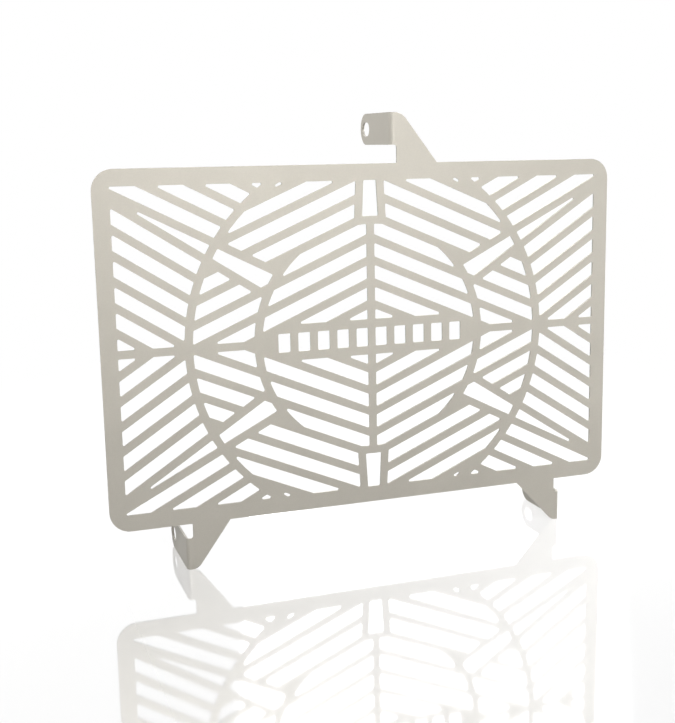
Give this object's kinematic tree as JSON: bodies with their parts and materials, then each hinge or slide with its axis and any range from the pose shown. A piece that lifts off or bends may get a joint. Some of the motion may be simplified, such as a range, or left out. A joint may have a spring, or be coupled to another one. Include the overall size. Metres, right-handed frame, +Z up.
{
  "type": "motorcycle radiator guard",
  "caption": "Flat slotted sheet-metal guard for a motorcycle radiator: slanted slots between ring and spoke bars, with folded mounting tabs that have bolt slots.",
  "frame": {"origin": "centre of the slotted plate, on its back face, which is the face towards the radiator", "axes": "+X to the right seen from the front, +Y from the plate back towards the radiator, the way the tabs fold, +Z up"},
  "size_m": [0.3446, 0.055, 0.2827],
  "materials": {
    "satin_sheet": "satin, warm grey"
  },
  "bodies": {
    "root": {"guard_plate": "satin_sheet"}
  },
  "joints": []
}
